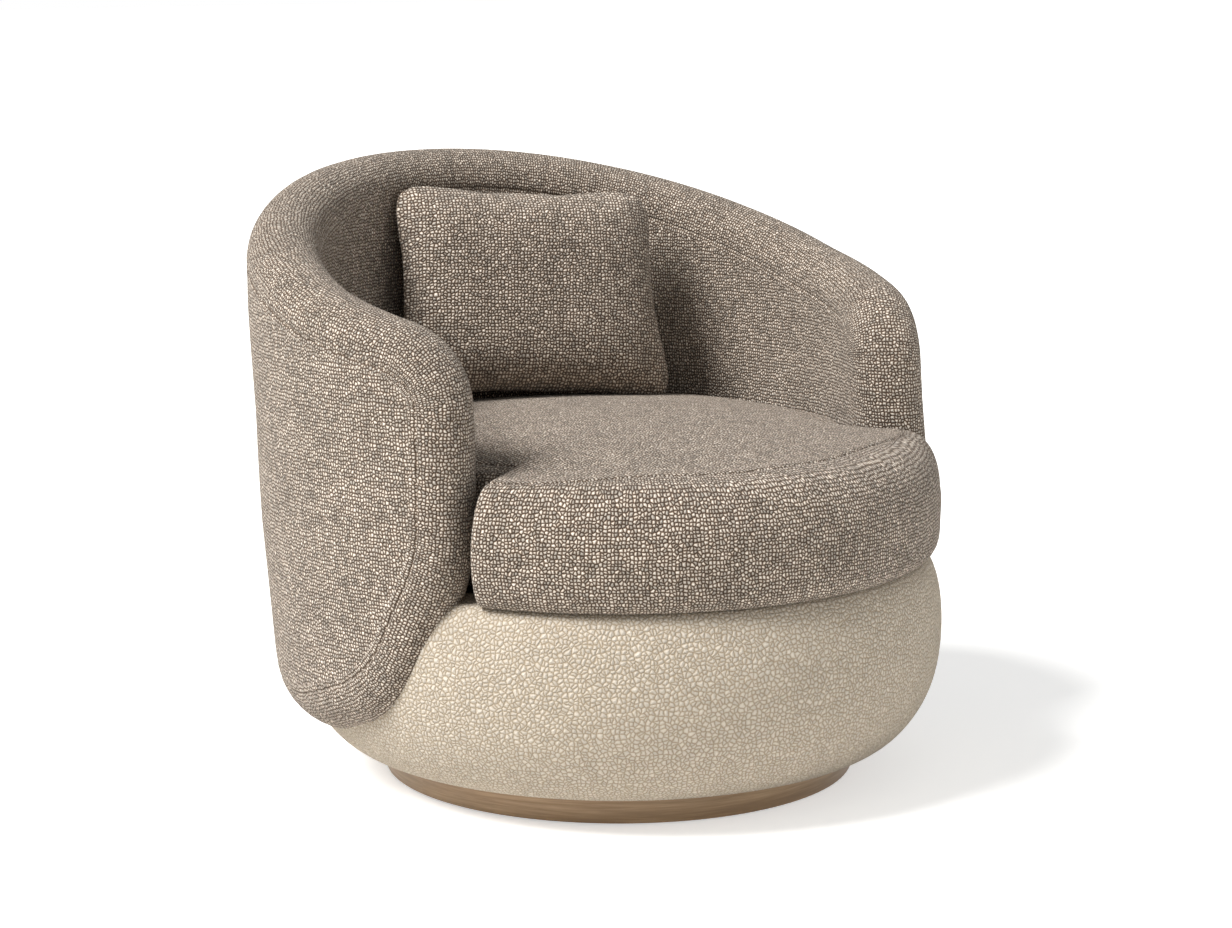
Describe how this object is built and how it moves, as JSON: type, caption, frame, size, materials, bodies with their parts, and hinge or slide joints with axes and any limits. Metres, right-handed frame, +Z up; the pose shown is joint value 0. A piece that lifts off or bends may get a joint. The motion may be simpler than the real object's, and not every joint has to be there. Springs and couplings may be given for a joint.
{
  "type": "swivel barrel chair",
  "caption": "Upholstered barrel armchair with a wrap-around shell, loose round seat cushion and small scatter pillow, turning on a low round plinth.",
  "frame": {"origin": "on the swivel axis at floor level", "axes": "+Z up along the swivel axis, -Y towards the front of the seat, +X to the right of someone facing the chair's front"},
  "size_m": [0.813, 0.8489, 0.6937],
  "materials": {
    "tweed": "coarse basket-weave wool tweed, taupe ground with pale nubs",
    "boucle": "cream boucle with small pebbled loops",
    "foam": "open-cell polyurethane foam, modelled solid",
    "fibre_filling": "loose polyester fibre filling, modelled solid",
    "dark_cloth": "thin black non-woven cloth",
    "webbing": "woven elastic webbing",
    "plywood": "bent or flat birch plywood, unfinished",
    "frame_timber": "planed softwood",
    "stained_wood": "turned wood with a bronze-brown stain, satin",
    "zinc_steel": "zinc-plated steel",
    "bearing_steel": "polished bearing steel",
    "nylon": "moulded nylon, matt"
  },
  "bodies": {
    "plinth": {"plinth_ring": "stained_wood", "plinth_board": "plywood", "floor_glides": "nylon", "swivel_lower_plate": "zinc_steel", "swivel_lower_race": "zinc_steel", "king_pin": "zinc_steel", "king_pin_washer": "zinc_steel", "king_pin_nut": "zinc_steel", "lower_plate_screws": "zinc_steel"},
    "ball_race": {"ball_cage": "nylon", "bearing_balls": "bearing_steel"},
    "seat_cushion": {"cushion_foam": "foam", "cushion_top_panel": "tweed", "cushion_side_band": "tweed", "cushion_bottom_panel": "tweed"},
    "pillow": {"pillow_filling": "fibre_filling", "pillow_front_panel": "tweed", "pillow_back_panel": "tweed"},
    "chair": {"shell_outside_panel": "tweed", "shell_inside_panel": "tweed", "shell_edge_band": "tweed", "base_cover": "boucle", "shell_outer_foam": "foam", "shell_inner_foam": "foam", "base_foam": "foam", "deck_pad": "foam", "deck_cloth": "dark_cloth", "dust_cover": "dark_cloth", "seat_webbing_cross": "webbing", "seat_webbing_long": "webbing", "shell_core": "plywood", "drum_wall": "plywood", "base_board": "plywood", "seat_ring": "plywood", "drum_posts": "frame_timber", "shell_mount_blocks": "frame_timber", "swivel_upper_plate": "zinc_steel", "swivel_upper_race": "zinc_steel", "base_board_bolts": "zinc_steel", "base_board_tee_nuts": "zinc_steel", "post_screws_lower": "zinc_steel", "post_screws_upper": "zinc_steel", "shell_bolts": "zinc_steel", "shell_bolt_washers": "zinc_steel", "shell_tee_nuts": "zinc_steel"}
  },
  "joints": [
    {"name": "swivel", "type": "hinge", "parent": "plinth", "child": "chair", "pos_m": [0, 0, 0], "axis": [0, 0, 1], "continuous": true},
    {"name": "cage_spin", "type": "hinge", "parent": "plinth", "child": "ball_race", "pos_m": [0, 0, 0], "axis": [0, 0, 1], "continuous": true},
    {"name": "cushion_lift", "type": "slide", "parent": "chair", "child": "seat_cushion", "axis": [0, 0.09, 0.9959], "range_m": [0, 0.08]},
    {"name": "pillow_lift", "type": "slide", "parent": "seat_cushion", "child": "pillow", "axis": [-0.2, -0.45, 0.8703], "range_m": [0, 0.3]}
  ],
  "couplings": [
    {"joint": "cage_spin", "follows": "swivel", "ratio": 0.5}
  ]
}
